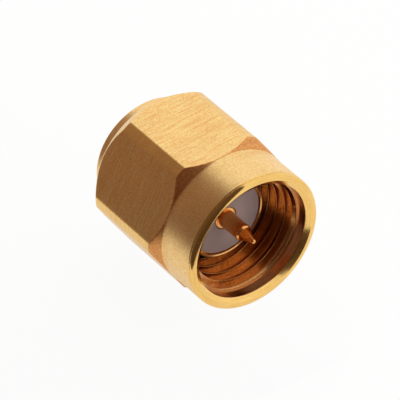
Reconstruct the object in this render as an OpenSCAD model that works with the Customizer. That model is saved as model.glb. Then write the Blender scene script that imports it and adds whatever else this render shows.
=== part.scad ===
// Plug-type coaxial terminator: a matched load inside a turned body, with a captive hexagon nut.
// The axis is X. The origin is on the axis, in the reference plane where the mating connector's
// outer conductor meets the ferrule. +X points out of the mouth, and the part lies on a flat (-Z).

/* [Mating interface] */
// Diameter of the centre pin ahead of the reference plane
pin_d = 0.92; // [0.90:0.01:0.94]
// Length of the pin's straight part, from the reference plane to the start of its point
pin_straight_l = 1.5; // [1.3:0.05:1.6]
// How far the pin's tip stands ahead of the reference plane
pin_reach = 2.4; // [2.2:0.05:2.5]
// Radial step from the straight part down to the point's cone
pin_step = 0.09; // [0.04:0.01:0.12]
// Diameter of the pin's rounded tip
pin_tip_d = 0.3; // [0.1:0.02:0.4]
// Diameter of the contact where it passes through the insulator
contact_d = 1.27; // [1.2:0.01:1.34]
// Diameter of the insulator at the reference plane, which is also the ferrule's bore
insulator_d = 4.1; // [3.8:0.01:4.4]
// Wall of the ferrule that enters the mating connector
ferrule_wall = 0.245; // [0.2:0.005:0.28]
// Length of the ferrule, from the reference plane back to the body's shoulder
ferrule_l = 2.6; // [2.4:0.05:2.8]
// Bevel on the ferrule's front edge
ferrule_bevel = 0.08; // [0.04:0.01:0.12]
// Radial room between the ferrule and the thread's crests, for the mating connector's wall
mating_gap = 0.525; // [0.45:0.005:0.6]

/* [Coupling nut] */
// How far the nut's mouth stands ahead of the reference plane
mouth_reach = 2.46; // [2.4:0.02:2.6]
// Pitch of the internal thread: 36 turns to the inch
thread_pitch = 0.7056; // [0.68:0.0002:0.75]
// Depth of the internal thread, from its crests to its roots
thread_depth = 0.38; // [0.3:0.01:0.42]
// Length of the threaded stretch
thread_l = 3.1; // [2.9:0.05:3.4]
// How much the relief behind the thread clears the thread's roots
relief_step = 0.05; // [0.02:0.01:0.1]
// How much the counterbore at the mouth clears the thread's roots
counterbore_step = 0.11; // [0.06:0.01:0.15]
// Depth of the counterbore from the mouth
counterbore_depth = 0.8; // [0.6:0.05:0.9]
// Wall between the counterbore and the outside of the collar
mouth_wall = 0.63; // [0.55:0.01:0.7]
// Radius of the rounding on the outer edge of the mouth
lip_r = 0.27; // [0.15:0.01:0.3]
// Bevel on the inner edge of the mouth
lip_bevel = 0.18; // [0.1:0.01:0.24]
// Length of the collar, from the mouth to the foot of the front chamfer
collar_l = 2.46; // [2.2:0.05:2.8]
// How much the hexagon's flats stand proud of the collar
flat_proud = 0.03; // [0.01:0.01:0.2]
// How much the turned corners stand proud of the flats
corner_proud = 0.45; // [0.35:0.01:0.55]
// Length along the axis of the front chamfer, from the collar to the corners
front_chamfer_l = 0.54; // [0.4:0.02:0.7]
// Length along the axis of the hexagon's rear chamfer
rear_chamfer_l = 0.72; // [0.6:0.02:0.84]
// How far the rear chamfer comes down from the corners
rear_chamfer_drop = 0.56; // [0.5:0.01:0.66]
// Length of the round neck behind the hexagon
neck_l = 0.98; // [0.8:0.02:1.14]
// Width of the nut's rear face round its bore, which is also the neck's wall
rear_face_w = 0.42; // [0.36:0.01:0.5]
// Bevel on the neck's rear edge
neck_bevel = 0.08; // [0.04:0.01:0.12]

/* [Body] */
// Width of the body's shoulder round the ferrule
shoulder_w = 0.425; // [0.38:0.005:0.5]
// Length of the barrel's land ahead of the ring groove
front_land_l = 0.6; // [0.5:0.02:0.7]
// Depth of the ring groove in the barrel
groove_depth = 0.34; // [0.28:0.01:0.38]
// Length of metal between the ring groove and the step in the body's bore
step_wall = 0.38; // [0.3:0.01:0.5]
// Wall of the barrel round the load
barrel_wall = 0.42; // [0.36:0.01:0.5]
// Bevel on the edges of the barrel
barrel_bevel = 0.08; // [0.04:0.01:0.12]
// How far the body's rear face lies inside the nut's
rear_recess = 0.1; // [0.05:0.01:0.2]

/* [Retaining ring and gasket] */
// Thickness of the ring along the axis
ring_t = 0.46; // [0.4:0.01:0.5]
// Radial width of the ring's section
ring_w = 0.59; // [0.5:0.01:0.65]
// Gap in the ring
ring_gap = 1.6; // [1.0:0.1:2.4]
// Thickness of the gasket along the axis
gasket_t = 0.6; // [0.4:0.05:0.7]
// Width of the gasket's section
gasket_w = 0.4; // [0.3:0.02:0.45]

/* [Load] */
// Thickness of the insulator's rear flange
flange_t = 0.4; // [0.34:0.02:0.5]
// Depth of the collar's seat in the insulator's flange
collar_seat_depth = 0.3; // [0.2:0.02:0.32]
// How far the contact reaches behind the insulator
contact_tail_l = 0.45; // [0.4:0.05:0.6]
// Wall of the contact's tail round its socket
tail_wall = 0.33; // [0.25:0.01:0.4]
// Depth of the socket in the contact's tail that takes the front cap
contact_socket_depth = 0.3; // [0.2:0.05:0.35]
// Diameter of the resistor's ceramic rod
rod_d = 1.0; // [0.8:0.02:1.2]
// Length of the resistor's ceramic rod
rod_l = 1.6; // [1.4:0.05:2.4]
// Wall of the two metal end caps on the rod
cap_wall = 0.1; // [0.06:0.01:0.14]
// How far each cap covers the rod
cap_cover_l = 0.3; // [0.2:0.05:0.4]
// Wall of the matching sleeve at its wide front end
sleeve_front_wall = 0.34; // [0.25:0.01:0.5]
// Radial room between the rear cap and the narrow rear end of the matching sleeve
sleeve_rear_gap = 0.24; // [0.15:0.01:0.35]
// Depth of the socket in the rear plug that takes the rear cap
plug_socket_depth = 0.25; // [0.2:0.01:0.35]
// Thickness of the rear plug behind its socket
plug_floor_t = 0.39; // [0.3:0.01:0.6]
// Bevel round the rear plug's outer face
plug_bevel = 0.06; // [0.03:0.01:0.1]

/* [Fits] */
// Radial clearance between the nut's rear bore and the barrel
spin_clearance = 0.06; // [0.03:0.005:0.08]
// Radial clearance of pieces that slip together
slip_clearance = 0.01; // [0.005:0.001:0.015]
// Clearance on each side of the ring, and under it, in the barrel's groove
ring_clearance = 0.03; // [0.02:0.005:0.04]
// Play of the nut along the axis, each way
nut_float = 0.08; // [0.05:0.01:0.1]
// Radial clearance between the ring and the nut's groove
ring_groove_gap = 0.1; // [0.05:0.01:0.12]

/* [Hidden] */
$fn = 96;

gold = "#d9a648";
copper = "#b4713a";
nickel = "#b9b7b0";
ptfe = "#efeeea";
silicone = "#b5532f";
alumina = "#f3f0e6";

// Radii of the body and what it holds, from the insulator out
insulator_r = insulator_d / 2;
ferrule_r = insulator_r + ferrule_wall;
barrel_r = ferrule_r + shoulder_w;
groove_r = barrel_r - groove_depth;
ring_inner_r = groove_r + ring_clearance;
ring_r = ring_inner_r + ring_w;
load_bore_r = barrel_r - barrel_wall;
load_r = load_bore_r - slip_clearance;

// Radii of the nut, from the room for the mating connector out
thread_minor_r = ferrule_r + mating_gap;
thread_major_r = thread_minor_r + thread_depth;
relief_r = thread_major_r + relief_step;
counterbore_r = thread_major_r + counterbore_step;
collar_r = counterbore_r + mouth_wall;
flat_r = collar_r + flat_proud;
corner_r = flat_r + corner_proud;
nut_bore_r = barrel_r + spin_clearance;
nut_groove_r = ring_r + ring_groove_gap;
neck_r = nut_bore_r + rear_face_w;
chamfer_foot_r = corner_r - rear_chamfer_drop;

// Radii of the resistor and its sockets, from the rod out
cap_bore_r = rod_d / 2 + slip_clearance;
cap_r = cap_bore_r + cap_wall;
socket_r = cap_r + slip_clearance;
contact_collar_r = socket_r + tail_wall;

// Places along the axis, from the mouth to the foot of the nut's front chamfer
mouth_x = mouth_reach;
thread_start_x = mouth_x - counterbore_depth;
thread_end_x = thread_start_x - thread_l;
thread_turns = floor(thread_l / thread_pitch);
collar_foot_x = mouth_x - collar_l;
hex_front_x = collar_foot_x - front_chamfer_l;

// Places along the axis, from the body's shoulder back through the load to the rear face
shoulder_x = -ferrule_l;
gasket_front_x = shoulder_x + gasket_t;
groove_front_x = shoulder_x - front_land_l;
groove_rear_x = groove_front_x - ring_t - 2 * ring_clearance;
seat_x = groove_rear_x - step_wall;
flange_rear_x = seat_x - flange_t;
collar_front_x = flange_rear_x + collar_seat_depth;
contact_rear_x = flange_rear_x - contact_tail_l;
front_cap_x = contact_rear_x + contact_socket_depth;
rod_front_x = front_cap_x - cap_wall;
rod_rear_x = rod_front_x - rod_l;
rear_cap_x = rod_rear_x - cap_wall;
plug_front_x = rear_cap_x + plug_socket_depth;
body_rear_x = rear_cap_x - plug_floor_t;
nut_rear_x = body_rear_x - rear_recess;
neck_front_x = nut_rear_x + neck_l;
hex_rear_x = neck_front_x + rear_chamfer_l;

// Points of an arc about [radius, place], from angle a to angle b
function arc(centre, r, a, b, steps = 8) = [
    for (i = [0 : steps])
        let (t = a + (b - a) * i / steps)
        [centre[0] + r * cos(t), centre[1] + r * sin(t)]
];

// A solid of revolution about the X axis, from an outline of [radius, x] points
module turned(outline) {
    rotate([0, 90, 0]) rotate_extrude() polygon(outline);
}

// A round hole along the axis from x = a to x = b, with the ends given in any order
module bore(r, a, b) {
    translate([min(a, b), 0, 0]) rotate([0, 90, 0]) cylinder(r = r, h = abs(b - a));
}

// The nut is turned all over from hexagon bar, so the flats are what the turning leaves
module nut_blank() {
    intersection() {
        translate([nut_rear_x, 0, 0]) rotate([0, 90, 0]) rotate([0, 0, 30])
            cylinder(r = flat_r / cos(30), h = mouth_x - nut_rear_x, $fn = 6);
        turned(concat(
            [
                [0, nut_rear_x],
                [neck_r - neck_bevel, nut_rear_x],
                [neck_r, nut_rear_x + neck_bevel],
                [neck_r, neck_front_x],
                [chamfer_foot_r, neck_front_x],
                [corner_r, hex_rear_x],
                [corner_r, hex_front_x],
                [collar_r, collar_foot_x]
            ],
            arc([collar_r - lip_r, mouth_x - lip_r], lip_r, 0, 90, 6),
            [[0, mouth_x]]
        ));
    }
}

// Groove of a 60 degree thread, cut as a ring round x. Its root is an eighth of the pitch wide
module thread_groove(x) {
    root_half = thread_pitch / 16;
    flank_l = thread_depth * tan(30);
    turned([
        [thread_minor_r - thread_depth, x - root_half - 2 * flank_l],
        [thread_major_r, x - root_half],
        [thread_major_r, x + root_half],
        [thread_minor_r - thread_depth, x + root_half + 2 * flank_l]
    ]);
}

module coupling_nut() {
    past = 0.5;
    color(gold) difference() {
        nut_blank();
        bore(nut_bore_r, nut_rear_x - past, mouth_x + past);
        bore(thread_minor_r, thread_end_x, mouth_x + past);
        bore(relief_r, thread_end_x, shoulder_x);
        bore(counterbore_r, thread_start_x, mouth_x + past);
        for (turn = [0 : thread_turns - 1])
            thread_groove(thread_start_x - (turn + 0.5) * thread_pitch);
        bore(nut_groove_r, groove_front_x + nut_float, groove_rear_x - nut_float);
        turned([
            [0, mouth_x - lip_bevel],
            [counterbore_r, mouth_x - lip_bevel],
            [counterbore_r + lip_bevel, mouth_x],
            [counterbore_r + lip_bevel, mouth_x + past],
            [0, mouth_x + past]
        ]);
    }
}

// Ferrule, barrel and ring groove are one turned piece, bored from the rear for the load
module body() {
    color(copper) turned([
        [insulator_r, 0],
        [ferrule_r - ferrule_bevel, 0],
        [ferrule_r, -ferrule_bevel],
        [ferrule_r, shoulder_x],
        [barrel_r - barrel_bevel, shoulder_x],
        [barrel_r, shoulder_x - barrel_bevel],
        [barrel_r, groove_front_x],
        [groove_r, groove_front_x],
        [groove_r, groove_rear_x],
        [barrel_r, groove_rear_x],
        [barrel_r, body_rear_x + barrel_bevel],
        [barrel_r - barrel_bevel, body_rear_x],
        [load_bore_r, body_rear_x],
        [load_bore_r, seat_x],
        [insulator_r, seat_x]
    ]);
}

// Split ring that rides in the barrel's groove and springs out into the nut's
module retaining_ring() {
    color(copper) difference() {
        bore(ring_r, groove_front_x - ring_clearance, groove_rear_x + ring_clearance);
        bore(ring_inner_r, groove_front_x, groove_rear_x);
        translate([groove_rear_x, -ring_gap / 2, 0])
            cube([groove_front_x - groove_rear_x, ring_gap, 2 * ring_r]);
    }
}

// Square-section seal on the root of the ferrule, against the body's shoulder
module gasket() {
    gasket_inner_r = ferrule_r + slip_clearance;
    color(silicone) difference() {
        bore(gasket_inner_r + gasket_w, shoulder_x, gasket_front_x);
        bore(gasket_inner_r, shoulder_x - gasket_t, gasket_front_x + gasket_t);
    }
}

// Bead with a rear flange that the step in the body's bore stops
module insulator() {
    contact_hole_r = contact_d / 2 + slip_clearance;
    collar_hole_r = contact_collar_r + slip_clearance;
    color(ptfe) turned([
        [contact_hole_r, 0],
        [insulator_r - slip_clearance, 0],
        [insulator_r - slip_clearance, seat_x],
        [load_r, seat_x],
        [load_r, flange_rear_x],
        [collar_hole_r, flange_rear_x],
        [collar_hole_r, collar_front_x],
        [contact_hole_r, collar_front_x]
    ]);
}

// Pin, thick shank through the insulator, trapped collar and socketed tail, turned as one
module centre_contact() {
    point_step_x = pin_straight_l + pin_step;
    tip_r = pin_tip_d / 2;
    color(gold) turned(concat(
        [
            [0, front_cap_x],
            [socket_r, front_cap_x],
            [socket_r, contact_rear_x],
            [contact_collar_r, contact_rear_x],
            [contact_collar_r, collar_front_x],
            [contact_d / 2, collar_front_x],
            [contact_d / 2, 0],
            [pin_d / 2, 0],
            [pin_d / 2, pin_straight_l],
            [pin_d / 2 - pin_step, point_step_x]
        ],
        arc([0, pin_reach - tip_r], tip_r, 0, 90, 6)
    ));
}

// Sleeve with a tapered bore that narrows the line towards the grounded end of the rod
module matching_sleeve() {
    color(copper) turned([
        [load_r - sleeve_front_wall, flange_rear_x],
        [load_r, flange_rear_x],
        [load_r, plug_front_x],
        [cap_r + sleeve_rear_gap, plug_front_x]
    ]);
}

// Ceramic rod that carries the resistive film between its caps
module resistor_rod() {
    color(alumina) bore(rod_d / 2, rod_front_x, rod_rear_x);
}

// Cup pressed on one end of the rod: closed at x = a, open towards the rod's middle
module end_cap(closed_x, towards) {
    open_x = closed_x + towards * (cap_wall + cap_cover_l);
    color(nickel) difference() {
        bore(cap_r, closed_x, open_x);
        bore(cap_bore_r, closed_x + towards * cap_wall, open_x + towards);
    }
}

module front_terminal() {
    end_cap(front_cap_x, -1);
}

module rear_terminal() {
    end_cap(rear_cap_x, 1);
}

// Plug that closes the body, clamps the sleeve and grounds the rear cap
module rear_plug() {
    color(copper) turned([
        [0, rear_cap_x],
        [socket_r, rear_cap_x],
        [socket_r, plug_front_x],
        [load_r, plug_front_x],
        [load_r, body_rear_x + plug_bevel],
        [load_r - plug_bevel, body_rear_x],
        [0, body_rear_x]
    ]);
}

coupling_nut();
body();
retaining_ring();
gasket();
insulator();
centre_contact();
matching_sleeve();
resistor_rod();
front_terminal();
rear_terminal();
rear_plug();
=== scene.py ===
# Plug-type coaxial terminator on its side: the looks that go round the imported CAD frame.
# Sizes are in millimetres until a mesh is made. The axis is X, and the mouth faces +X.

import math

import bmesh
import bpy
from mathutils import Matrix, Quaternion, Vector


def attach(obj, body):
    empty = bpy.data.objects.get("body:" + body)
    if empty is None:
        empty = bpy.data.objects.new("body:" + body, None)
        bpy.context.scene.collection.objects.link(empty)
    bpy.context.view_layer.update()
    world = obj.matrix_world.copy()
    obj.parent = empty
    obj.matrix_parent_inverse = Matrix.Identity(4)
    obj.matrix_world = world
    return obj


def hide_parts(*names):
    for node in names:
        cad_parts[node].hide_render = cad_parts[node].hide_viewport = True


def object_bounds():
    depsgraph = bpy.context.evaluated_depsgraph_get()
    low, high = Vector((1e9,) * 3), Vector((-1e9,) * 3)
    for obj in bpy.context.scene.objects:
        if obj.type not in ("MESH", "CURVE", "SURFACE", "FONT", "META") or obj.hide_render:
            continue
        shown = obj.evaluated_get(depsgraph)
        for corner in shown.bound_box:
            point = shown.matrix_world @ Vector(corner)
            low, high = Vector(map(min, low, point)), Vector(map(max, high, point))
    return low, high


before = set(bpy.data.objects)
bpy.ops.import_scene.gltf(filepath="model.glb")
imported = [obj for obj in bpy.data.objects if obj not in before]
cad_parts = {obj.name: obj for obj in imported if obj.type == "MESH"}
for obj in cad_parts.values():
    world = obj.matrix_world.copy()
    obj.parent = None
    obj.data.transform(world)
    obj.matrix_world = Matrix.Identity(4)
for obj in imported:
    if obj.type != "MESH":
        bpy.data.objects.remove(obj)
cad_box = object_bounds()

# Coupling nut.
# Brass hexagon bar, turned on a lathe: corners turned down, chamfered at both ends, a round collar
# and a rolled lip at the mouth, a round neck behind, then gold plated. Its thread is a piece below.

MM = 0.001
HEX_FLAT_R = 3.97
HEX_CORNER_R = 4.42
HEX_FRONT_X = -0.54
HEX_REAR_X = -5.24
CHAMFER_FOOT_R = 3.86
NECK_FRONT_X = -5.96
NECK_R = 3.2
NUT_REAR_X = -6.94
COLLAR_R = 3.94
MOUTH_X = 2.46
LIP_GROOVE_X = 2.24
LIP_GROOVE_DEPTH = 0.03
LIP_LENGTH = 0.17
LIP_WIDTH = 0.33
LIP_BEVEL = (0.29, 0.2)
COUNTERBORE_R = 3.31
THREAD_START_X = 1.66
THREAD_MAJOR_R = 3.2
THREAD_END_X = -1.44
RELIEF_R = 3.25
SHOULDER_X = -2.6
NUT_BORE_R = 2.78
NUT_GROOVE = (-3.12, -3.8, 3.1)
EDGE_SOFTNESS = 0.018
BREAK = 0.06
CORNER_STEPS = 6
EDGE_DEGREES = (-1.4, -0.8, -0.45, -0.15, 0.15, 0.45, 0.8, 1.4)
COLUMNS_PER_HALF_FLAT = 12
MARKS_PER_MM_ALONG = 0.7
CLOUDS_PER_MM = 0.6
MARK_HEIGHT = 0.004


def linear(hex_colour):
    """An sRGB hex value as a linear colour."""
    parts = [int(hex_colour[i:i + 2], 16) / 255 for i in (1, 3, 5)]
    return [p / 12.92 if p <= 0.04045 else ((p + 0.055) / 1.055) ** 2.4 for p in parts] + [1.0]


def add(tree, kind, settings=None, **sockets):
    """Adds a node. A socket's value is a number or colour, or another node's output to link."""
    node = tree.nodes.new(kind)
    for name, value in (settings or {}).items():
        setattr(node, name, value)
    for name, value in sockets.items():
        key = int(name[1:]) if name[0] == "_" and name[1:].isdigit() else name.replace("_", " ")
        if isinstance(value, bpy.types.NodeSocket):
            tree.links.new(value, node.inputs[key])
        else:
            node.inputs[key].default_value = value
    return node


def rounded(corners):
    """Points of a closed outline. Each corner is (radius, x, reach of its rounding), and a fourth
    number gives the rounding another reach along the next side."""
    points = []
    for i, (r, x, *reach) in enumerate(corners):
        here = Vector((r, x))
        if not reach[0]:
            points.append(here)
            continue
        before = Vector(corners[i - 1][:2]) - here
        after = Vector(corners[(i + 1) % len(corners)][:2]) - here
        share = 0.49 if len(reach) == 1 else 0.95
        first = here + before.normalized() * min(reach[0], share * before.length)
        last = here + after.normalized() * min(reach[-1], 0.95 * after.length)
        for k in range(CORNER_STEPS + 1):
            t = k / CORNER_STEPS
            points.append(first * (1 - t) ** 2 + here * 2 * t * (1 - t) + last * t * t)
    return points


def turned(name, outline_at, angles, zone_of=None):
    """A closed skin round the X axis. outline_at(angle) gives one column's closed outline, and
    angle is measured from +Z towards -Y. The UV map holds millimetres: along the outline, and round."""
    mesh = bpy.data.meshes.new(name)
    bm = bmesh.new()
    columns = [outline_at(a) for a in angles]
    rings = [
        [bm.verts.new((p[1] * MM, -p[0] * math.sin(a) * MM, p[0] * math.cos(a) * MM)) for p in column]
        for a, column in zip(angles, columns)
    ]
    uv = bm.loops.layers.uv.new("wrap")
    middle = columns[len(columns) // 2]
    along = [0.0]
    for p, q in zip(middle, middle[1:] + middle[:1]):
        along.append(along[-1] + (q - p).length)
    rows = len(middle)
    for i in range(len(rings)):
        left, right = rings[i], rings[(i + 1) % len(rings)]
        a, b = angles[i], angles[i + 1] if i + 1 < len(angles) else angles[0] + math.tau
        for j in range(rows):
            k = (j + 1) % rows
            face = bm.faces.new((left[j], left[k], right[k], right[j]))
            face.smooth = True
            if zone_of:
                face.material_index = zone_of(j, (a + b) / 2)
            reach = max(columns[i][j][0], columns[i][k][0])
            corners = ((along[j], a), (along[j + 1], a), (along[j + 1], b), (along[j], b))
            for loop, (u, v) in zip(face.loops, corners):
                loop[uv].uv = (u, v * reach)
    bmesh.ops.remove_doubles(bm, verts=bm.verts, dist=1e-8)
    bmesh.ops.recalc_face_normals(bm, faces=bm.faces)
    bm.to_mesh(mesh)
    bm.free()
    piece = bpy.data.objects.new(name, mesh)
    bpy.context.scene.collection.objects.link(piece)
    shading = piece.modifiers.new("weighted normals", "WEIGHTED_NORMAL")
    shading.keep_sharp = True
    return piece


def metal(name, pale, deep, roughness, spacing, streak, depth, grit=11.0, wrapped=True):
    """Plated metal in two tones. Tool marks lie a spacing apart in millimetres and run round, streak
    is their share of the pattern, and the rest is grit, in grains to the millimetre."""
    material = bpy.data.materials.new(name)
    material.use_nodes = True
    tree = material.node_tree
    shader = tree.nodes["Principled BSDF"]
    place = add(tree, "ShaderNodeTexCoord").outputs["Object"]
    if wrapped:
        wrap = add(tree, "ShaderNodeUVMap", {"uv_map": "wrap"}).outputs["UV"]
        along = add(tree, "ShaderNodeMapping", Vector=wrap, Scale=(1 / spacing, MARKS_PER_MM_ALONG, 1.0))
    else:
        run = MARKS_PER_MM_ALONG / MM
        along = add(tree, "ShaderNodeMapping", Vector=place, Scale=(1 / (spacing * MM), run, run))
    marks = add(tree, "ShaderNodeTexNoise", Vector=along.outputs["Vector"], Scale=1.0, Detail=2.0)
    grains = add(tree, "ShaderNodeTexNoise", Vector=place, Scale=grit / MM, Detail=2.0)
    pattern = add(tree, "ShaderNodeMix", Factor=streak, A=grains.outputs["Fac"], B=marks.outputs["Fac"])
    clouds = add(tree, "ShaderNodeTexNoise", Vector=place, Scale=CLOUDS_PER_MM / MM, Detail=3.0)
    share = add(tree, "ShaderNodeMapRange", Value=pattern.outputs[0], From_Min=0.36, From_Max=0.64)
    tones = add(tree, "ShaderNodeMix", {"data_type": "RGBA"}, _0=share.outputs["Result"],
                _6=linear(deep), _7=linear(pale))
    drift = add(tree, "ShaderNodeMapRange", Value=clouds.outputs["Fac"],
                From_Min=0.3, From_Max=0.7, To_Min=0.96, To_Max=1.02)
    base = add(tree, "ShaderNodeVectorMath", {"operation": "SCALE"},
               _0=tones.outputs[2], Scale=drift.outputs["Result"])
    tree.links.new(base.outputs["Vector"], shader.inputs["Base Color"])
    rough = add(tree, "ShaderNodeMapRange", Value=pattern.outputs[0],
                From_Min=0.3, From_Max=0.7, To_Min=roughness * 1.2, To_Max=roughness * 0.85)
    tree.links.new(rough.outputs["Result"], shader.inputs["Roughness"])
    bump = add(tree, "ShaderNodeBump", Height=pattern.outputs[0], Strength=depth,
               Distance=MARK_HEIGHT * MM)
    tree.links.new(bump.outputs["Normal"], shader.inputs["Normal"])
    shader.inputs["Metallic"].default_value = 1.0
    return material


def polymer(name, colour, roughness, mottle, depth):
    """A matte solid with grains 0.1 mm apart and clouds of shade 1 mm apart. mottle is how far the
    shade drifts from place to place."""
    material = bpy.data.materials.new(name)
    material.use_nodes = True
    tree = material.node_tree
    shader = tree.nodes["Principled BSDF"]
    place = add(tree, "ShaderNodeTexCoord").outputs["Object"]
    grains = add(tree, "ShaderNodeTexNoise", Vector=place, Scale=9 / MM, Detail=3.0)
    clouds = add(tree, "ShaderNodeTexNoise", Vector=place, Scale=0.9 / MM, Detail=3.0)
    tone = add(tree, "ShaderNodeMapRange", Value=clouds.outputs["Fac"],
               From_Min=0.3, From_Max=0.7, To_Min=1 - mottle, To_Max=1 + mottle)
    base = add(tree, "ShaderNodeVectorMath", {"operation": "SCALE"},
               _0=linear(colour)[:3], Scale=tone.outputs["Result"])
    tree.links.new(base.outputs["Vector"], shader.inputs["Base Color"])
    bump = add(tree, "ShaderNodeBump", Height=grains.outputs["Fac"], Strength=depth, Distance=0.003 * MM)
    tree.links.new(bump.outputs["Normal"], shader.inputs["Normal"])
    shader.inputs["Roughness"].default_value = roughness
    return material


# Drawn flats: short streaks across the bar, in gold with a little red, coarser than real to show.
flat_gold = metal("gold plate on drawn flats", "#ffdf97", "#efb369", 0.30, 0.08, 0.5, 0.5, wrapped=False)
# Turned corners, chamfer and rear faces: clean gold with the fine rings of the tool.
turned_gold = metal("gold plate on turned faces", "#f8d083", "#ebba6b", 0.28, 0.08, 0.6, 0.3)
# Collar and neck: the plating is matte and grainy, like fine sand.
matte_gold = metal("matte gold plate on the collar", "#ffdf9e", "#f4c276", 0.38, 0.06, 0.25, 0.5)
# The lip is burnished, so it mirrors its surroundings.
lip_gold = metal("burnished gold plate on the lip", "#fdd380", "#eebc68", 0.13, 0.05, 0.7, 0.2)
# Painted shade: the bore's gold is darker and more coppery than the outside's, for the dim inside of the
# nut.
shaded_bore_gold = metal("gold plate in the bore, darkened as painted shade", "#e0aa72", "#c08a58", 0.22, 0.07, 0.6, 0.3)
# The front chamfer is rough from the tool. Its deeper, redder gold is painted shade and a painted
# reflection of the collar, in the corner by the collar.
shaded_cone_gold = metal("gold plate on the front chamfer, with painted shade", "#f0b06c", "#d1884a", 0.38, 0.07, 0.3, 0.6)


def soft_least(a, b):
    """The lesser of two radii, with the edge between them broken smoothly."""
    return -EDGE_SOFTNESS * math.log(math.exp(-a / EDGE_SOFTNESS) + math.exp(-b / EDGE_SOFTNESS))


def from_flat(angle):
    """The angle from the nearest flat's middle. One flat faces up."""
    return (angle + math.pi / 6) % (math.pi / 3) - math.pi / 6


def nut_outline(angle):
    hex_r = soft_least(HEX_FLAT_R / math.cos(from_flat(angle)), HEX_CORNER_R)
    below = HEX_CORNER_R - hex_r
    rear_x = HEX_REAR_X - below * (HEX_REAR_X - NECK_FRONT_X) / (HEX_CORNER_R - CHAMFER_FOOT_R)
    front_x = HEX_FRONT_X - below * HEX_FRONT_X / (HEX_CORNER_R - COLLAR_R)
    groove_front, groove_rear, groove_r = NUT_GROOVE
    return rounded([
        (NUT_BORE_R, NUT_REAR_X, 0.04),
        (NECK_R, NUT_REAR_X, 0.08),
        (NECK_R, NECK_FRONT_X, 0.03),
        (CHAMFER_FOOT_R, NECK_FRONT_X, 0.03),
        (hex_r, rear_x, BREAK),
        (hex_r, front_x, 0.04),
        (COLLAR_R, 0, 0.05, 0.2),
        (COLLAR_R, LIP_GROOVE_X - 0.04, 0.012),
        (COLLAR_R - LIP_GROOVE_DEPTH, LIP_GROOVE_X, 0.012),
        (COLLAR_R, LIP_GROOVE_X + 0.05, 0.012),
        (COLLAR_R, MOUTH_X, LIP_LENGTH, LIP_WIDTH),
        (COUNTERBORE_R + LIP_BEVEL[0], MOUTH_X, 0.01),
        (COUNTERBORE_R, MOUTH_X - LIP_BEVEL[1], 0.03),
        (COUNTERBORE_R, THREAD_START_X, 0.02),
        (THREAD_MAJOR_R, THREAD_START_X, 0.02),
        (THREAD_MAJOR_R, THREAD_END_X, 0.02),
        (RELIEF_R, THREAD_END_X, 0.02),
        (RELIEF_R, SHOULDER_X, 0.02),
        (NUT_BORE_R, SHOULDER_X, 0.02),
        (NUT_BORE_R, groove_front, 0.02),
        (groove_r, groove_front, 0.02),
        (groove_r, groove_rear, 0.02),
        (NUT_BORE_R, groove_rear, 0.02),
    ])


FLAT, TURNED, MATTE, LIP, BORE, CONE = range(6)
OUTSIDE = (TURNED, MATTE, TURNED, TURNED, FLAT, CONE, MATTE, LIP, LIP, LIP, LIP, LIP)


def nut_zone(row, angle):
    """The finish of a face, from the side of the outline that it lies on. Sides past the lip are
    the bore's."""
    side = row // (CORNER_STEPS + 1)
    if side >= len(OUTSIDE):
        return BORE
    if OUTSIDE[side] == FLAT and HEX_FLAT_R / math.cos(from_flat(angle)) >= HEX_CORNER_R:
        return TURNED
    return OUTSIDE[side]


edge_angle = math.acos(HEX_FLAT_R / HEX_CORNER_R)
half_flat = [edge_angle * k / COLUMNS_PER_HALF_FLAT for k in range(COLUMNS_PER_HALF_FLAT)]
near_edge = [edge_angle + math.radians(d) for d in EDGE_DEGREES]
half_sector = half_flat + near_edge + [math.pi / 6]
sector = [-a for a in reversed(half_sector[1:-1])] + half_sector
nut_angles = [-math.pi + k * math.pi / 3 + a for k in range(6) for a in sector]
nut = turned("nut_shell", nut_outline, nut_angles, nut_zone)
for finish in (flat_gold, turned_gold, matte_gold, lip_gold, shaded_bore_gold, shaded_cone_gold):
    nut.data.materials.append(finish)
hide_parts("coupling_nut")
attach(nut, "nut")

# Coupling thread.
# The turns of the nut's 1/4-36 thread, as a helical ridge on the bore's wall. Both ends are
# countersunk and pushed into the wall, where they can't be seen. The sizes below are the real
# thread's, but the ridge differs from it in two ways: it is left-handed, and its section lies on
# its side. So the flank that faces the mouth is square to the axis, a slope falls away behind it,
# and the ridge stands 0.3 mm proud of the wall instead of 0.38 mm.

PITCH = 25.4 / 36
THREAD_MINOR_R = 2.82
CREST_FLAT = PITCH / 4
ROOT_FLAT = PITCH / 8
CREST_EDGE_R = 0.012
WALL_BITE = 0.04
LOWEST_CREST_X = 0.506
TURNS_BEHIND_CREST = 4
TURNS = 6.3
COLUMNS_ROUND = 144
CUT_BACK = 0.003


def baked(piece):
    """Turns the piece's Geometry Nodes result into its plain mesh."""
    graph = bpy.context.evaluated_depsgraph_get()
    mesh = bpy.data.meshes.new_from_object(piece.evaluated_get(graph))
    piece.modifiers.clear()
    piece.data = mesh
    mesh.shade_smooth()
    mesh.set_sharp_from_angle(angle=math.radians(20))
    return piece


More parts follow.
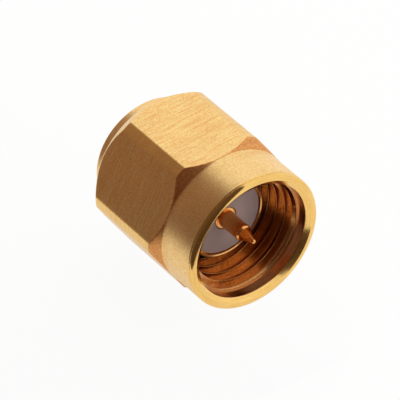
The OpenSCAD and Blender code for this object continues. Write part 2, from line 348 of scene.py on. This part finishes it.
def ridge_tree(input_names):
    """A ridge that follows a helix and fades into the wall past the Front and Rear. Returns the tree
    and its inputs' identifiers by name."""
    tree = bpy.data.node_groups.new("helical ridge", "GeometryNodeTree")
    tree.interface.new_socket(name="Geometry", in_out="OUTPUT", socket_type="NodeSocketGeometry")
    identifiers = {
        name: tree.interface.new_socket(name=name, in_out="INPUT", socket_type="NodeSocketFloat").identifier
        for name in input_names}
    asked = add(tree, "NodeGroupInput").outputs
    reach = add(tree, "ShaderNodeMath", {"operation": "MULTIPLY"}, _0=asked["Pitch"], _1=asked["Turns"])
    # This spiral turns clockwise as it rises, which makes the helix left-handed.
    helix = add(tree, "GeometryNodeCurveSpiral", Resolution=COLUMNS_ROUND, Rotations=asked["Turns"],
                Start_Radius=asked["Root radius"], End_Radius=asked["Root radius"],
                Height=reach.outputs[0])
    upright = add(tree, "GeometryNodeSetCurveNormal", Curve=helix.outputs[0])
    upright.mode = "Z_UP"
    depth = add(tree, "ShaderNodeMath", {"operation": "SUBTRACT"},
                _0=asked["Root radius"], _1=asked["Crest radius"])
    # Along the helix, the section's width comes to lie across the axis and its height along it.
    section = add(tree, "GeometryNodeCurvePrimitiveQuadrilateral", {"mode": "TRAPEZOID"},
                  Bottom_Width=asked["Root width"], Top_Width=asked["Crest width"],
                  Height=depth.outputs[0], Offset=0.0)
    eased = add(tree, "GeometryNodeFilletCurve", {"mode": "POLY"}, Curve=section.outputs[0],
                Count=2, Radius=asked["Edge radius"])
    below = add(tree, "ShaderNodeMath", {"operation": "MULTIPLY"}, _0=asked["Wall bite"], _1=-1.0)
    lift = add(tree, "ShaderNodeMath", {"operation": "MULTIPLY_ADD"},
               _0=depth.outputs[0], _1=0.5, _2=below.outputs[0])
    lift_vector = add(tree, "ShaderNodeCombineXYZ", Y=lift.outputs[0])
    seated = add(tree, "GeometryNodeTransform", Geometry=eased.outputs[0],
                 Translation=lift_vector.outputs[0])
    ridge = add(tree, "GeometryNodeCurveToMesh", Curve=upright.outputs[0],
                Profile_Curve=seated.outputs[0], Fill_Caps=True)
    start_vector = add(tree, "ShaderNodeCombineXYZ", X=asked["Helix start"])
    laid = add(tree, "GeometryNodeTransform", Geometry=ridge.outputs[0],
               Translation=start_vector.outputs[0], Rotation=(0.0, math.pi / 2, 0.0))
    place = add(tree, "ShaderNodeSeparateXYZ", Vector=add(tree, "GeometryNodeInputPosition").outputs[0])
    spoke = add(tree, "ShaderNodeCombineXYZ", Y=place.outputs["Y"], Z=place.outputs["Z"])
    radius = add(tree, "ShaderNodeVectorMath", {"operation": "LENGTH"}, _0=spoke.outputs[0])
    outward = add(tree, "ShaderNodeVectorMath", {"operation": "NORMALIZE"}, _0=spoke.outputs[0])
    past_front = add(tree, "ShaderNodeMath", {"operation": "SUBTRACT"},
                     _0=place.outputs["X"], _1=asked["Front"])
    past_rear = add(tree, "ShaderNodeMath", {"operation": "SUBTRACT"},
                    _0=asked["Rear"], _1=place.outputs["X"])
    past = add(tree, "ShaderNodeMath", {"operation": "MAXIMUM"},
               _0=past_front.outputs[0], _1=past_rear.outputs[0])
    hidden = add(tree, "ShaderNodeMath", {"operation": "MINIMUM"},
                 _0=past.outputs[0], _1=asked["Wall bite"])
    countersunk = add(tree, "ShaderNodeMath", {"operation": "ADD"},
                      _0=hidden.outputs[0], _1=asked["Root radius"])
    eased_r = add(tree, "ShaderNodeMath", {"operation": "MAXIMUM"},
                  _0=radius.outputs["Value"], _1=countersunk.outputs[0])
    not_ahead = add(tree, "ShaderNodeMath", {"operation": "MINIMUM"},
                    _0=place.outputs["X"], _1=asked["Front"])
    within = add(tree, "ShaderNodeMath", {"operation": "MAXIMUM"},
                 _0=not_ahead.outputs[0], _1=asked["Rear"])
    moved_out = add(tree, "ShaderNodeVectorMath", {"operation": "SCALE"},
                    _0=outward.outputs[0], Scale=eased_r.outputs[0])
    moved_along = add(tree, "ShaderNodeCombineXYZ", X=within.outputs[0])
    moved = add(tree, "ShaderNodeVectorMath", {"operation": "ADD"},
                _0=moved_out.outputs[0], _1=moved_along.outputs[0])
    ended = add(tree, "GeometryNodeSetPosition", Geometry=laid.outputs[0], Position=moved.outputs[0])
    real = add(tree, "GeometryNodeRealizeInstances", Geometry=ended.outputs[0])
    painted = add(tree, "GeometryNodeSetMaterial", Geometry=real.outputs[0], Material=shaded_thread_gold)
    output = add(tree, "NodeGroupOutput")
    tree.links.new(painted.outputs[0], output.inputs[0])
    return tree, identifiers


# The tap's burnish: nearly a mirror along the crests. Its dark, coppery gold is painted shade for the
# inside of the nut.
shaded_thread_gold = metal("gold plate on the thread, darkened as painted shade", "#dfa365", "#a66a39", 0.2, 0.06, 0.4, 0.4,
                    wrapped=False)
thread = bpy.data.objects.new("nut_thread", bpy.data.meshes.new("nut_thread"))
bpy.context.scene.collection.objects.link(thread)
thread_sizes = {
    "Pitch": PITCH, "Helix start": LOWEST_CREST_X - TURNS_BEHIND_CREST * PITCH,
    "Root radius": THREAD_MAJOR_R, "Crest radius": THREAD_MINOR_R,
    "Crest width": CREST_FLAT, "Root width": PITCH - ROOT_FLAT,
    "Front": THREAD_START_X - CUT_BACK, "Rear": THREAD_END_X + CUT_BACK,
    "Wall bite": WALL_BITE, "Edge radius": CREST_EDGE_R}
ridge_group, ridge_inputs = ridge_tree([*thread_sizes, "Turns"])
ridge = thread.modifiers.new("ridge", "NODES")
ridge.node_group = ridge_group
for size_name, size in thread_sizes.items():
    ridge[ridge_inputs[size_name]] = size * MM
ridge[ridge_inputs["Turns"]] = TURNS
baked(thread)
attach(thread, "nut")

# Body.
# One piece turned from brass bar and gold plated: the thin ferrule that enters the mating half,
# the shoulder behind it, and the barrel that the nut turns on, bored out from the rear.

INSULATOR_R = 2.05
FERRULE_R = 2.295
BARREL_R = 2.72
RING_GROOVE = (-3.2, -3.72, 2.38)
SEAT_X = -4.1
LOAD_BORE_R = 2.3
BODY_REAR_X = -6.84
TURNED_EDGE = 0.03
FERRULE_RIM = 0.05

round_angles = [-math.pi + math.tau * k / COLUMNS_ROUND for k in range(COLUMNS_ROUND)]
# Polished plating over fine turning: darker and redder than the nut, with sharp highlights.
body_gold = metal("gold plate on the turned body", "#e8b070", "#d3965a", 0.16, 0.07, 0.6, 0.2)


def turned_piece(name, corners, node, body, finish):
    piece = turned(name, lambda angle: rounded(corners), round_angles)
    piece.data.materials.append(finish)
    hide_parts(node)
    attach(piece, body)
    return piece


turned_piece("load_shell", [
    (INSULATOR_R, -FERRULE_RIM, 0.02),
    (FERRULE_R - 0.09, -FERRULE_RIM, 0.01),
    (FERRULE_R - 0.04, 0, 0.01),
    (FERRULE_R, -0.03, 0.03),
    (FERRULE_R, SHOULDER_X, 0.02),
    (BARREL_R, SHOULDER_X, 0.08),
    (BARREL_R, RING_GROOVE[0], 0.02),
    (RING_GROOVE[2], RING_GROOVE[0], 0.02),
    (RING_GROOVE[2], RING_GROOVE[1], 0.02),
    (BARREL_R, RING_GROOVE[1], 0.02),
    (BARREL_R, BODY_REAR_X, 0.09),
    (LOAD_BORE_R, BODY_REAR_X, TURNED_EDGE),
    (LOAD_BORE_R, SEAT_X, 0.02),
    (INSULATOR_R, SEAT_X, 0.02),
], "body", "load_body", body_gold)

# Retaining ring and gasket.
# A split ring of copper alloy strip in the barrel's groove holds the nut on, and a square-section
# silicone ring on the ferrule's root seals the joint. Both lie deep in the nut.

GASKET_R = (2.305, 2.705)
GASKET_FRONT_X = -2.0

# Rolled strip, unplated: dull and brown.
ring_strip = metal("copper alloy spring strip", "#c0824f", "#a56a3c", 0.35, 0.08, 0.5, 0.4,
                   wrapped=False)
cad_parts["retaining_ring"].data.materials.clear()
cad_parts["retaining_ring"].data.materials.append(ring_strip)
# Moulded rubber: dark red and matte.
silicone = polymer("moulded silicone rubber", "#7c2a17", 0.55, 0.12, 0.5)
turned_piece("seal_ring", [
    (GASKET_R[0], GASKET_FRONT_X, TURNED_EDGE),
    (GASKET_R[1], GASKET_FRONT_X, 0.06),
    (GASKET_R[1], SHOULDER_X, 0.06),
    (GASKET_R[0], SHOULDER_X, TURNED_EDGE),
], "gasket", "load_body", silicone)

# Insulator.
# A bead machined from white fluoropolymer rod, flush with the ferrule, with a flange behind that
# the step in the body stops. It is waxy and slightly translucent, with faint facing marks.

SLIP = 0.01
SHANK_R = 0.635
FLANGE_REAR_X = -4.5
COLLAR_SEAT_X = -4.2
CONTACT_COLLAR_R = 0.95

# Machined fluoropolymer: waxy, and greyer than its white because it stands in the nut's shade.
fluoropolymer = polymer("machined white fluoropolymer", "#c2adab", 0.42, 0.06, 0.3)
turned_piece("bead", [
    (SHANK_R + SLIP, 0, 0.02),
    (INSULATOR_R - SLIP, 0, 0.03),
    (INSULATOR_R - SLIP, SEAT_X, 0.02),
    (LOAD_BORE_R - SLIP, SEAT_X, 0.02),
    (LOAD_BORE_R - SLIP, FLANGE_REAR_X, TURNED_EDGE),
    (CONTACT_COLLAR_R + SLIP, FLANGE_REAR_X, 0.02),
    (CONTACT_COLLAR_R + SLIP, COLLAR_SEAT_X, 0.02),
    (SHANK_R + SLIP, COLLAR_SEAT_X, 0.02),
], "insulator", "load_body", fluoropolymer)

# Centre contact.
# Turned from copper alloy and gold plated: pin with a stepped, pointed end, thick shank through
# the bead, a collar that the bead traps, and a socket for the resistor behind.

PIN_R = 0.46
PIN_STEP_R = 0.37
PIN_STRAIGHT_X = 1.5
PIN_STEP_X = 1.59
PIN_TIP_X = 2.4
PIN_TIP_R = 0.1
SOCKET_R = 0.62
SOCKET_FLOOR_X = -4.65
CONTACT_REAR_X = -4.95

# Plating over copper alloy: redder than the nut, and smooth enough to show a highlight on each edge.
contact_gold = metal("gold plate on the turned contact", "#fbbb70", "#ea9c52", 0.24, 0.06, 0.7, 0.3)
turned_piece("contact_pin", [
    (0, PIN_TIP_X, 0),
    (PIN_TIP_R, PIN_TIP_X, 0.07),
    (PIN_STEP_R, PIN_STEP_X, 0.03),
    (PIN_R, PIN_STRAIGHT_X, 0.03),
    (PIN_R, 0, 0.01),
    (SHANK_R, 0, 0.06),
    (SHANK_R, COLLAR_SEAT_X, 0.02),
    (CONTACT_COLLAR_R, COLLAR_SEAT_X, 0.02),
    (CONTACT_COLLAR_R, CONTACT_REAR_X, TURNED_EDGE),
    (SOCKET_R, CONTACT_REAR_X, TURNED_EDGE),
    (SOCKET_R, SOCKET_FLOOR_X, 0.02),
    (0, SOCKET_FLOOR_X, 0),
], "centre_contact", "load_body", contact_gold)

# Matched load.
# A ceramic rod with a resistive film, capped in nickel-plated metal at both ends, inside a
# brass sleeve with a tapered bore. All of it is sealed in, so the frame's own solids serve.

# Bare turned brass, dull nickel, and white ceramic with a fine grain.
sleeve_brass = metal("turned brass", "#d0ab60", "#b8924c", 0.3, 0.07, 0.7, 0.4, wrapped=False)
cap_nickel = metal("nickel plate on the end caps", "#c8c4ba", "#b4b0a6", 0.28, 0.07, 0.4, 0.3,
                   wrapped=False)
alumina = polymer("alumina ceramic", "#ebe7da", 0.6, 0.08, 0.4)
for node, finish in (("matching_sleeve", sleeve_brass), ("front_terminal", cap_nickel),
                     ("rear_terminal", cap_nickel), ("resistor_rod", alumina)):
    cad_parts[node].data.materials.clear()
    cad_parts[node].data.materials.append(finish)

# Rear plug.
# A turned disc pressed into the body's rear, which closes it and grounds the rod. Its outer face
# shows the rings left by facing.

PLUG_FRONT_X = -6.2
PLUG_SOCKET_X = -6.45

turned_piece("end_plug", [
    (0, PLUG_SOCKET_X, 0),
    (SOCKET_R, PLUG_SOCKET_X, 0.02),
    (SOCKET_R, PLUG_FRONT_X, TURNED_EDGE),
    (LOAD_BORE_R - SLIP, PLUG_FRONT_X, TURNED_EDGE),
    (LOAD_BORE_R - SLIP, BODY_REAR_X, 0.07),
    (0, BODY_REAR_X, 0),
], "rear_plug", "load_body", body_gold)

# Stage.
# White paper under the part, a white room that mirrors show, one large soft lamp behind the part,
# and a dark hood round the near side: a dim glow, seen only in reflections, that paints dark
# reflections there as in a product photograph.

FLOOR_SPAN = 2.0
PAPER_SEEN = 0.95
PAPER_MIRRORED = 0.85
ROOM_LIGHT = 0.5
LAMP_AZIMUTH = math.radians(180)
LAMP_ELEVATION = math.radians(45)
LAMP_DISTANCE = 0.4
LAMP_SIZE = (1.4, 0.8)
LAMP_RADIANCE = 1.2
HOOD_R = 17.5 * MM
HOOD_CENTRE = Vector((-9.0, -1.0)) * MM
HOOD_STEP = 7
HOOD_REACH = 182
HOOD_RISE = 6
# Glow levels of the hood's painted dark reflections, rear end then front end, at the paper and at the top.
HOOD_AT_FLOOR = (0.29, 0.08)
HOOD_AT_TOP = (0.53, 0.13)
AIM = Vector((-0.23, -1.36, 1.78)) * MM
VIEW_AZIMUTH = math.radians(56.55)
VIEW_ELEVATION = math.radians(39.98)
VIEW_DISTANCE = 200 * MM
VIEW_ROLL = math.radians(-3.67)
LENS_PER_WIDTH = 3984.1 / 400


def seen_directly(tree):
    """1 where a camera, mirror or glass ray looks, and 0 for light that spreads."""
    path = add(tree, "ShaderNodeLightPath").outputs
    either = add(tree, "ShaderNodeMath", {"operation": "MAXIMUM"},
                 _0=path["Is Camera Ray"], _1=path["Is Glossy Ray"])
    return path, add(tree, "ShaderNodeMath", {"operation": "MAXIMUM"},
                     _0=either.outputs[0], _1=path["Is Transmission Ray"]).outputs[0]


floor_mesh = bpy.data.meshes.new("paper")
bm = bmesh.new()
bmesh.ops.create_grid(bm, x_segments=1, y_segments=1, size=FLOOR_SPAN / 2,
                      matrix=Matrix.Translation((0, 0, cad_box[0].z)))
bm.to_mesh(floor_mesh)
bm.free()
floor = bpy.data.objects.new("paper", floor_mesh)
bpy.context.scene.collection.objects.link(floor)
paper = bpy.data.materials.new("white paper")
paper.use_nodes = True
tree = paper.node_tree
tree.nodes.clear()
path, direct = seen_directly(tree)
matte = add(tree, "ShaderNodeBsdfDiffuse", Color=linear("#f4f4f4"))
glow = add(tree, "ShaderNodeEmission", Color=(1.0, 1.0, 1.0, 1.0), Strength=1.0)
seen = add(tree, "ShaderNodeMath", {"operation": "MULTIPLY"},
           _0=path["Is Camera Ray"], _1=PAPER_SEEN)
mirrored = add(tree, "ShaderNodeMath", {"operation": "MULTIPLY"}, _0=direct, _1=PAPER_MIRRORED)
share = add(tree, "ShaderNodeMath", {"operation": "MAXIMUM"}, _0=seen.outputs[0], _1=mirrored.outputs[0])
mixed = add(tree, "ShaderNodeMixShader", _0=share.outputs[0], _1=matte.outputs[0], _2=glow.outputs[0])
add(tree, "ShaderNodeOutputMaterial", Surface=mixed.outputs[0])
floor.data.materials.append(paper)

world = bpy.data.worlds.new("studio")
world.use_nodes = True
bpy.context.scene.world = world
tree = world.node_tree
tree.nodes.clear()
white = add(tree, "ShaderNodeBackground", Color=(1.0, 1.0, 1.0, 1.0), Strength=1.0)
room = add(tree, "ShaderNodeBackground", Color=linear("#f2efec"), Strength=ROOM_LIGHT)
either = add(tree, "ShaderNodeMixShader", _0=seen_directly(tree)[1],
             _1=room.outputs[0], _2=white.outputs[0])
add(tree, "ShaderNodeOutputWorld", Surface=either.outputs[0])


def towards(azimuth, elevation):
    """The direction of a place seen from the part. Azimuth 0 is -Y, and 90 degrees is +X."""
    return Vector((math.sin(azimuth) * math.cos(elevation),
                   -math.cos(azimuth) * math.cos(elevation), math.sin(elevation)))


lamp = bpy.data.lights.new("large softbox", "AREA")
lamp.shape = "RECTANGLE"
lamp.size, lamp.size_y = LAMP_SIZE
lamp.energy = LAMP_RADIANCE * math.pi * lamp.size * lamp.size_y
lamp.color = linear("#fffaf4")[:3]
lamp_holder = bpy.data.objects.new("large softbox", lamp)
lamp_holder.location = towards(LAMP_AZIMUTH, LAMP_ELEVATION) * LAMP_DISTANCE
lamp_holder.rotation_mode = "QUATERNION"
lamp_holder.rotation_quaternion = (-towards(LAMP_AZIMUTH, LAMP_ELEVATION)).to_track_quat("-Z", "Y")
lamp_holder.visible_camera = False
# Mirrors already show the white room there, so the lamp would only double it.
lamp_holder.visible_glossy = False
bpy.context.scene.collection.objects.link(lamp_holder)

# The hood is part of a dome on the paper, a dim glow that paints dark reflections in the metal. Its glow is
# weakest in front of the mouth, so the painted reflection is darkest there.
hood_mesh = bpy.data.meshes.new("dark hood")
bm = bmesh.new()
hood_rows = []
for rise in range(0, 91, HOOD_RISE):
    height = math.sin(math.radians(rise)) * HOOD_R
    out = math.cos(math.radians(rise)) * HOOD_R
    hood_rows.append([
        bm.verts.new((HOOD_CENTRE.x + out * math.cos(math.radians(turn)),
                      HOOD_CENTRE.y - out * math.sin(math.radians(turn)), cad_box[0].z + height))
        for turn in range(-HOOD_STEP, HOOD_REACH + 1, HOOD_STEP)])
for lower, upper in zip(hood_rows, hood_rows[1:]):
    for k in range(len(lower) - 1):
        bm.faces.new((lower[k], lower[k + 1], upper[k + 1], upper[k]))
bm.to_mesh(hood_mesh)
bm.free()
hood = bpy.data.objects.new("dark hood", hood_mesh)
bpy.context.scene.collection.objects.link(hood)
hood.visible_camera = False
hood.visible_shadow = False
# Painted reflection: the hood's surface only glows, dimmer towards the front and lower down.
painted_shade_glow = bpy.data.materials.new("dark felt")
painted_shade_glow.use_nodes = True
tree = painted_shade_glow.node_tree
tree.nodes.clear()
place = add(tree, "ShaderNodeTexCoord").outputs["Object"]
ways = add(tree, "ShaderNodeSeparateXYZ", Vector=place).outputs
ends = {"From_Min": HOOD_CENTRE.x - HOOD_R, "From_Max": HOOD_CENTRE.x + HOOD_R}
at_floor = add(tree, "ShaderNodeMapRange", Value=ways["X"], **ends,
               To_Min=HOOD_AT_FLOOR[0], To_Max=HOOD_AT_FLOOR[1])
at_top = add(tree, "ShaderNodeMapRange", Value=ways["X"], **ends,
             To_Min=HOOD_AT_TOP[0], To_Max=HOOD_AT_TOP[1])
climb = add(tree, "ShaderNodeMapRange", Value=ways["Z"], From_Min=0.0, From_Max=HOOD_R)
level = add(tree, "ShaderNodeMix", Factor=climb.outputs["Result"],
            A=at_floor.outputs["Result"], B=at_top.outputs["Result"])
dim = add(tree, "ShaderNodeEmission", Color=linear("#ffd4c0"), Strength=level.outputs[0])
add(tree, "ShaderNodeOutputMaterial", Surface=dim.outputs[0])
hood.data.materials.append(painted_shade_glow)

camera_data = bpy.data.cameras.new("camera")
camera_data.sensor_width = 36
camera_data.lens = camera_data.sensor_width * LENS_PER_WIDTH
camera_data.clip_start = VIEW_DISTANCE / 20
camera_data.clip_end = VIEW_DISTANCE * 50
camera = bpy.data.objects.new("camera", camera_data)
back = towards(VIEW_AZIMUTH, VIEW_ELEVATION)
camera.location = AIM + back * VIEW_DISTANCE
camera.rotation_mode = "QUATERNION"
camera.rotation_quaternion = (-back).to_track_quat("-Z", "Y") @ Quaternion((0, 0, 1), VIEW_ROLL)
bpy.context.scene.collection.objects.link(camera)
bpy.context.scene.camera = camera

bpy.context.scene.view_settings.view_transform = "Standard"
